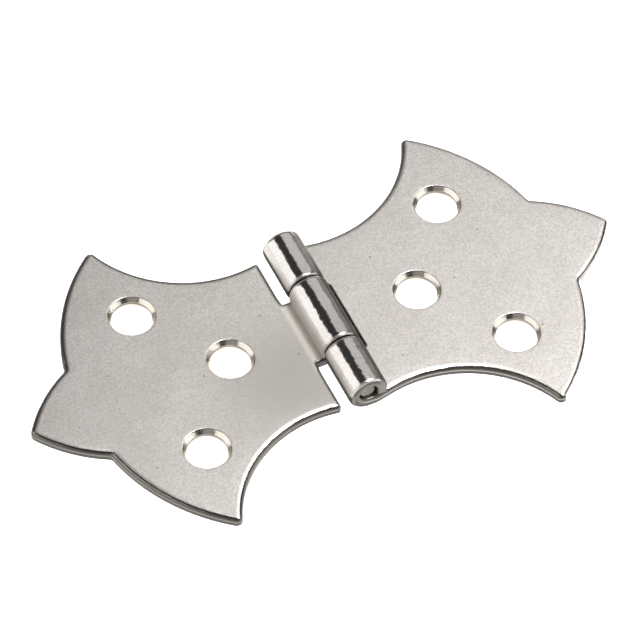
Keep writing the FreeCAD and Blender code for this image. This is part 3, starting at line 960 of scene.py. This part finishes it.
# Painted shade: on the tongue leaf's back half, the edges that face its tip are made darkest.
shaded_tip = times(tree, back_half, ramp(tree, tip_side, *SHADED_TIP_FADE))
torn_and_shaded = times(tree, on_wall, most(tree, ramp(tree, blank_z, *TORN_FADE), shaded_tip))
edge_shade_start = blend(tree, back_half, *EDGE_SHADE_STARTS)
edge_shade_full = blend(tree, back_half, *EDGE_SHADE_FULL)
# Painted shade: a dark line along the top of the edge, standing in for a dark reflection, stronger on the
# tongue leaf and wider on its back half.
edge_shade = times(
    tree, ramp(tree, from_edge, edge_shade_start, edge_shade_full), upper_half, off_roll,
    blend(tree, on_tongue_leaf, *EDGE_SHADE_SHARES),
)
burnish_line = times(
    tree, ramp(tree, blank_z, *LINE_FOOT_FADE), ramp(tree, blank_z, *LINE_TOP_FADE), off_roll,
    shear, blend(tree, on_tongue_leaf, *LINE_SHARES),
)
burnish_and_highlight = times(tree, on_wall, most(tree, burnish_line, tip_highlight))
print("Masks along the edge:", len(tree.nodes), "nodes so far")

# %% [markdown]
# ## Colour of the nickel
# Nickel is a warm, light grey, and it hardly changes over the flats. Colour is built up in coats:
# clouds first, then mottle and pits, then what the tools did, with painted shade, a painted sheen
# and painted highlights among the coats. Each coat covers the ones before it by its mask, so the
# order matters. The painted sheen at the tongue's root is less metallic, so metallic drops there.

# %% Coats of colour
CLOUD_FADE = (0.35, 0.7)
MOTTLE_FADE = (0.45, 0.85)
PIT_FADE = (0.33, 0.67)
SHEEN_METALLIC = 0.45
light_nickel = (0.735, 0.7, 0.668, 1)
warm_nickel = (0.68, 0.643, 0.605, 1)
# Used for the mottle and for the painted shade patch.
mottle_and_shade_nickel = (0.46, 0.435, 0.41, 1)
pitted_nickel = (0.38, 0.36, 0.335, 1)
# Lighter colour for the painted sheen at the tongue's root.
sheen_beige = (0.76, 0.705, 0.635, 1)
cone_nickel = (0.75, 0.695, 0.61, 1)
# Dark brown for the painted shade on the hole's wall.
hole_shade_brown = (0.2, 0.178, 0.15, 1)
# Dark colour for the painted line along the top of the edge.
edge_shade_nickel = (0.16, 0.145, 0.125, 1)
# The cut walls' colour: darker cut steel, darkened further as painted shade.
cut_and_shade_nickel = (0.14, 0.128, 0.113, 1)
# Darkest colour, for the specks, the torn metal and the painted shade at the tongue leaf's tip.
darkest_steel = (0.07, 0.063, 0.055, 1)
# Near-black colour for the painted shade in the slots.
slot_shade_black = (0.045, 0.039, 0.033, 1)
# Darkened colour for the painted shade on the barrel's sides.
barrel_shade_nickel = (0.16, 0.148, 0.13, 1)

# Each coat: its mask, how well it covers, and its colour
coats = (
    (times(tree, ramp(tree, mottle, *MOTTLE_FADE), plain), 0.3, mottle_and_shade_nickel),
    (times(tree, ramp(tree, grain, *PIT_FADE, shape="LINEAR"), plain), 0.5, pitted_nickel),
    (shade_patch, 1.0, mottle_and_shade_nickel),
    (root_sheen, 0.7, sheen_beige),
    (in_hole, 0.8, cone_nickel),
    (hole_wall_shade, 1.0, hole_shade_brown),
    (specks, 0.7, darkest_steel),
    (edge_shade, 1.0, edge_shade_nickel),
    (on_wall, 1.0, cut_and_shade_nickel),
    # torn metal, and painted shade at the tongue leaf's tip
    (torn_and_shaded, 1.0, darkest_steel),
    # burnish line, and painted highlight at the notched leaf's tip
    (burnish_and_highlight, 1.0, light_nickel),
    (slot_wall_shade, 1.0, slot_shade_black),
    (barrel_shade, 1.0, barrel_shade_nickel),
)
colour = blend_colour(tree, ramp(tree, clouds, *CLOUD_FADE), light_nickel, warm_nickel)
for mask, cover, coat in coats:
    share = mask if cover == 1.0 else times(tree, mask, cover)
    colour = blend_colour(tree, share, colour, coat)
tree.links.new(colour, shader.inputs["Base Color"])
tree.links.new(blend(tree, root_sheen, 1.0, SHEEN_METALLIC), shader.inputs["Metallic"])
print(f"Nickel coloured in {len(coats) + 1} coats")

# %% [markdown]
# ## Gloss and relief of the nickel
# Most of the look of metal is in how it scatters light: satin on the flats, bright where a tool
# rubbed, matt where it tore. Relief adds the grain and the slight waves of bent sheet. It is too
# shallow and too fine to model, so it is bump, with its depth given in millimetres.

# %% Roughness and relief
SATIN_ROUGHNESS = (0.36, 0.46)
BRIGHT_ROUGHNESS = (0.1, 0.18)
SHEARED_ROUGHNESS = (0.3, 0.5)
TIP_ROUGHNESS = 0.2
SHEEN_ROUGHER = 0.2

# What makes a bright place rougher, and by how much
dulled = ((in_hole, 0.06), (knuckle_end, 0.2), (worn_low, 0.36), (barrel_shade, 0.3))

# Each relief: its pattern, its depth in millimetres, and where it is
reliefs = (
    (grain, 0.012, plain),
    (mottle, 0.012, plain),
    (shear, 0.03, on_wall),
    (waves, 0.14, polished),
    (ripples, 0.022, on_roll),
)
satin = maths(tree, "ADD", blend(tree, grain, *SATIN_ROUGHNESS), times(tree, root_sheen, SHEEN_ROUGHER))
bright = blend(tree, streaks, *BRIGHT_ROUGHNESS)
for mask, rougher in dulled:
    bright = maths(tree, "ADD", bright, times(tree, mask, rougher))
sheared = blend(tree, tip_highlight, blend(tree, shear, *SHEARED_ROUGHNESS), TIP_ROUGHNESS)
rough = blend(tree, on_wall, blend(tree, rubbed, satin, bright), sheared)
tree.links.new(rough, shader.inputs["Roughness"])
relief = None
for pattern, depth, mask in reliefs:
    relief = bump(tree, pattern, depth, relief, mask)
tree.links.new(relief, shader.inputs["Normal"])
print("Nickel skin made with", len(tree.nodes), "nodes")

# %% [markdown]
# ## The two leaves
# Each blank goes through the node tree once. The evaluated result becomes a plain mesh, so the
# modifier can go. The leaf with the tongue is made on +X like the other, then its mesh is turned
# half round the Z axis, because the two real leaves face each other across the pin.

# %% Press both leaves
SHARP_ANGLE = math.radians(32)


def press_leaf(name, blank, turn, shift):
    """Run a blank through the press, keep the result as a plain mesh and turn it about Z."""
    piece = bpy.data.objects.new(name, blank)
    bpy.context.scene.collection.objects.link(piece)
    tool = piece.modifiers.new("press_and_roll", "NODES")
    tool.node_group = press
    for title, amount in PRESS_SIZES.items():
        tool[press_inputs[title].identifier] = amount
    tool[press_inputs["Pattern Shift"].identifier] = shift * MM
    tool[press_inputs["Finish"].identifier] = nickel
    graph = bpy.context.evaluated_depsgraph_get()
    pressed = bpy.data.meshes.new_from_object(
        piece.evaluated_get(graph), preserve_all_data_layers=True, depsgraph=graph
    )
    piece.modifiers.clear()
    piece.data = pressed
    pressed.name = name
    if turn:
        pressed.transform(Matrix.Rotation(turn, 4, "Z"))
    for extra in ("outward", "screw_hole", "section_out"):
        pressed.attributes.remove(pressed.attributes[extra])
    pressed.set_sharp_from_angle(angle=SHARP_ANGLE)
    print(f"{name}: {len(pressed.vertices)} points, {len(pressed.polygons)} faces")
    return piece


right_leaf = press_leaf("right_leaf_pressed", notched_blank, turn=0.0, shift=0.0)
left_leaf = press_leaf("left_leaf_pressed", tongue_blank, turn=math.pi, shift=TONGUE_SHIFT)

# %% [markdown]
# ## Steel for the pin
# The pin is a length of drawn wire without plating, so it is a darker, greyer steel. The drawing die
# leaves fine lines along it, and the cropping tool leaves dark marks across its ends. Both are noise,
# stretched along the pin or across it.

# %% Drawn steel
CROP_FADE = (PIN_HALF - 0.32, PIN_HALF - 0.2)
STAIN_FADE = (0.35, 0.7)
WIRE_ROUGHNESS = (0.28, 0.5)
DRAW_LINE_DEPTH = 0.006
CROP_MARK_DEPTH = 0.012
light_wire, stained_wire = (0.5, 0.49, 0.47, 1), (0.34, 0.33, 0.31, 1)
light_crop, dark_crop = (0.2, 0.192, 0.18, 1), (0.09, 0.086, 0.08, 1)

steel, tree, shader = new_finish("drawn_steel")
pin_place = in_millimetres(tree, tree.nodes.new("ShaderNodeTexCoord").outputs["Object"])
draw_lines = noise(tree, stretched(tree, pin_place, 0.12, 6.0, 0.12))
crop_marks = noise(tree, stretched(tree, pin_place, 1.5, 1.0, 0.16), detail=2.0)
stain = noise(tree, pin_place, scale=0.9)
along_pin = add_node(tree, "ShaderNodeSeparateXYZ", Vector=pin_place).outputs["Y"]
cropped = ramp(tree, maths(tree, "ABSOLUTE", along_pin), *CROP_FADE)
wire_colour = blend_colour(tree, ramp(tree, stain, *STAIN_FADE), light_wire, stained_wire)
crop_colour = blend_colour(tree, ramp(tree, crop_marks, *STAIN_FADE), light_crop, dark_crop)
tree.links.new(blend_colour(tree, cropped, wire_colour, crop_colour), shader.inputs["Base Color"])
tree.links.new(blend(tree, draw_lines, *WIRE_ROUGHNESS), shader.inputs["Roughness"])
relief = bump(tree, draw_lines, DRAW_LINE_DEPTH)
tree.links.new(bump(tree, crop_marks, CROP_MARK_DEPTH, relief), shader.inputs["Normal"])
print("Pin steel made with", len(tree.nodes), "nodes")

# %% [markdown]
# ## The pin
# The wire is cropped and lightly chamfered at both ends. A cylinder with a bevel would come close,
# but the cropped ends are slightly hollow, so the pin is turned from a half section: each point of
# the section gives a ring, and the rings are joined with faces.

# %% Turn the pin
PIN_SIDES = 96

# Share of the pin's radius, and distance inside its end in millimetres, from the middle outwards
PIN_END = (
    (0.0, 0.02),
    (0.35, 0.015),
    (0.66, 0.0),
    (0.76, 0.005),
    (0.82, 0.03),
    (0.94, 0.13),
    (0.985, 0.19),
    (1.0, 0.26),
)


def turned(name, profile, sides):
    """A closed body of rings about the pin's axis, from (distance along Y, radius) pairs in mm."""
    points = [(0, profile[0][0], 0)]
    for distance, radius in profile[1:-1]:
        for i in range(sides):
            angle = math.tau * i / sides
            points.append((radius * math.sin(angle), distance, radius * math.cos(angle)))
    points.append((0, profile[-1][0], 0))
    last = len(points) - 1
    rings = [range(1 + k * sides, 1 + (k + 1) * sides) for k in range(len(profile) - 2)]
    faces = [(0, rings[0][i], rings[0][(i + 1) % sides]) for i in range(sides)]
    for one, two in zip(rings, rings[1:]):
        faces += [(one[i], two[i], two[(i + 1) % sides], one[(i + 1) % sides]) for i in range(sides)]
    faces += [(last, rings[-1][(i + 1) % sides], rings[-1][i]) for i in range(sides)]
    mesh = bpy.data.meshes.new(name)
    mesh.from_pydata([(px * MM, py * MM, (pz + BARREL_RADIUS) * MM) for px, py, pz in points], [], faces)
    return mesh


near_end = [(-PIN_HALF + depth, PIN_RADIUS * share) for share, depth in PIN_END]
far_end = [(-distance, radius) for distance, radius in reversed(near_end)]
pin_mesh = turned("hinge_pin_turned", near_end + far_end, PIN_SIDES)
pin_mesh.shade_smooth()
pin_mesh.set_sharp_from_angle(angle=SHARP_ANGLE)
pin_mesh.materials.append(steel)
hinge_pin = bpy.data.objects.new("hinge_pin_turned", pin_mesh)
bpy.context.scene.collection.objects.link(hinge_pin)
print(f"Pin: {len(pin_mesh.polygons)} faces")

# %% [markdown]
# ## Tell the frame what stands for what
# Each new piece rides on the CAD body it belongs to and replaces the plain CAD node. The pin is held
# by the outer knuckles, so it rides with the right leaf.

# %% Ride and replace
for piece, body, node, slot in (
    (right_leaf, "right_leaf", "right_leaf", "leaf_plating"),
    (left_leaf, "left_leaf", "left_leaf", "leaf_plating"),
    (hinge_pin, "right_leaf", "hinge_pin", "pin_steel"),
):
    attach(piece, body)
    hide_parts(node)
    print(piece.name, "rides on", body)

# %% [markdown]
# ## The table and the black card
# The hinge is shown over a white table that glows a little, so that it stays pure white round the
# metal and in its holes. The table lies 34 mm down, which leaves room for a leaf that swings below.
# Metal shows what is around it: a black card overhead, unseen by the camera, draws the dark line
# along the barrel.

# %% The floor and the card
FLOOR_Z = -0.034
FLOOR_HALF = 1.5
CARD_MIDDLE = (-0.0845, 0.16, 0.254)
CARD_HALF_X = 0.1065
CARD_HALF_Y = 0.2


def matt_finish(name, shade, roughness, glow=0.0):
    """A matt grey finish, which may glow white."""
    finish, _, matt = new_finish(name, metallic=0.0)
    matt.inputs["Base Color"].default_value = (shade, shade, shade, 1)
    matt.inputs["Roughness"].default_value = roughness
    matt.inputs["Emission Color"].default_value = (1, 1, 1, 1)
    matt.inputs["Emission Strength"].default_value = glow
    return finish


def sheet_of(name, middle, half_x, half_y, finish):
    """A level rectangle for the studio, given its middle and half its sides, in metres."""
    corners = ((-half_x, -half_y), (half_x, -half_y), (half_x, half_y), (-half_x, half_y))
    mesh = bpy.data.meshes.new(name)
    mesh.from_pydata([Vector(middle) + Vector((u, v, 0)) for u, v in corners], [], [(0, 1, 2, 3)])
    mesh.materials.append(finish)
    rectangle = bpy.data.objects.new(name, mesh)
    bpy.context.scene.collection.objects.link(rectangle)
    return rectangle


paper = matt_finish("white_paper", shade=0.93, roughness=0.9, glow=0.85)
black_felt = matt_finish("black_felt", shade=0.01, roughness=1.0)
floor = sheet_of("floor", (0, 0, FLOOR_Z), FLOOR_HALF, FLOOR_HALF, paper)
card = sheet_of("black_card", CARD_MIDDLE, CARD_HALF_X, CARD_HALF_Y, black_felt)
card.visible_camera = False
print(f"Stage: {floor.name} at {FLOOR_Z / MM:.0f} mm, {card.name} at {CARD_MIDDLE[2] / MM:.0f} mm")

# %% [markdown]
# ## The lights
# Soft panels stand round the hinge, as in a product studio. A broad one on the left lights the flats
# and the barrel's long highlight, a small strong one above and a low one on the right light the right
# leaf, and weak ones at the back and the front left keep the far sides readable. A last one, which
# metal does not mirror, only whitens the table. Spot lights would leave small hard glints.

# %% Panels of light
def panel(name, place, width, height, brightness, along=None):
    """A rectangular light that faces the hinge, unseen by the camera, level or along a direction."""
    away = Vector(place).normalized()
    side = Vector(along) if along else Vector((-place[1], place[0], 0.0))
    if side.length == 0:
        side = Vector((1, 0, 0))
    side = (side - away * side.dot(away)).normalized()
    light = bpy.data.lights.new(name, "AREA")
    light.shape = "RECTANGLE"
    light.size, light.size_y = width, height
    light.energy = brightness * math.pi * width * height
    lamp = bpy.data.objects.new(name, light)
    lamp.location = place
    lamp.rotation_mode = "QUATERNION"
    lamp.rotation_quaternion = Matrix((side, away.cross(side), away)).transposed().to_quaternion()
    lamp.visible_camera = False
    bpy.context.scene.collection.objects.link(lamp)
    print(f"{name}: {light.energy:.2f} W")
    return lamp


panel("left_panel", (-0.547, 0.106, 0.27), width=0.9, height=0.56, brightness=1.28)
panel(
    "back_panel", (0.276, 0.33, 0.42), width=0.5, height=0.3, brightness=0.55, along=(0.57, -0.05, -0.34)
)
panel("right_back_panel", (0.49, 0.32, 0.15), width=0.16, height=0.24, brightness=0.15)
panel("top_panel", (0.14, 0.0, 0.385), width=0.2, height=0.15, brightness=12.0)
panel("right_panel", (0.404, -0.294, 0.155), width=0.52, height=0.28, brightness=1.5)
panel("front_left_panel", (-0.245, -0.47, 0.282), width=0.4, height=0.38, brightness=0.28)
table_light = panel("floor_fill", (0, 0, 0.9), width=1.2, height=1.2, brightness=1.2)
table_light.visible_glossy = False

# %% [markdown]
# ## The room
# The room around the panels is dim, and a little brighter behind the hinge than in front, so that
# rounded edges keep some contrast. The Standard view keeps the table white instead of toning it down.

# %% World and view
DIM_FRONT, DIM_BACK = 0.05, 0.17
world = bpy.data.worlds.new("studio")
bpy.context.scene.world = world
world.use_nodes = True
tree = world.node_tree
direction = tree.nodes.new("ShaderNodeTexCoord").outputs["Generated"]
to_back = add_node(tree, "ShaderNodeSeparateXYZ", Vector=direction).outputs["Y"]
sky = tree.nodes["Background"]
sky.inputs["Color"].default_value = (1, 1, 1, 1)
tree.links.new(ramp(tree, to_back, -1.0, 1.0, DIM_FRONT, DIM_BACK), sky.inputs["Strength"])
bpy.context.scene.view_settings.view_transform = "Standard"
print(f"Room brightness from {DIM_FRONT} in front to {DIM_BACK} behind")

# %% [markdown]
# ## The camera
# The camera stands to the front left and well above the hinge, with a long lens, as a product
# photographer would stand, so the far leaf is hardly smaller than the near one. Its place comes from
# two angles and a distance, which is easier to correct than three coordinates.

# %% The camera, at the photograph's angle
AZIMUTH = math.radians(-27.483)
ELEVATION = math.radians(53.231)
ROLL = math.radians(2.292)
TARGET = Vector((0.244, 1.480, 0.0)) * MM
DISTANCE = 595.29 * MM
FOCAL_LENGTH = 304.5
SENSOR_WIDTH = 36.0

level_back = Vector((math.sin(AZIMUTH), -math.cos(AZIMUTH), 0))
back = level_back * math.cos(ELEVATION) + Vector((0, 0, math.sin(ELEVATION)))
right = Vector((math.cos(AZIMUTH), math.sin(AZIMUTH), 0))
rolled_right = math.cos(ROLL) * right + math.sin(ROLL) * back.cross(right)
rolled_up = back.cross(rolled_right)
lens = bpy.data.cameras.new("camera")
lens.sensor_width = SENSOR_WIDTH
lens.lens = FOCAL_LENGTH
camera = bpy.data.objects.new("camera", lens)
camera.rotation_mode = "QUATERNION"
camera.rotation_quaternion = Matrix((rolled_right, rolled_up, back)).transposed().to_quaternion()
camera.location = TARGET + back * DISTANCE
bpy.context.scene.collection.objects.link(camera)
bpy.context.scene.camera = camera
print("Camera at", [round(value, 3) for value in camera.location])
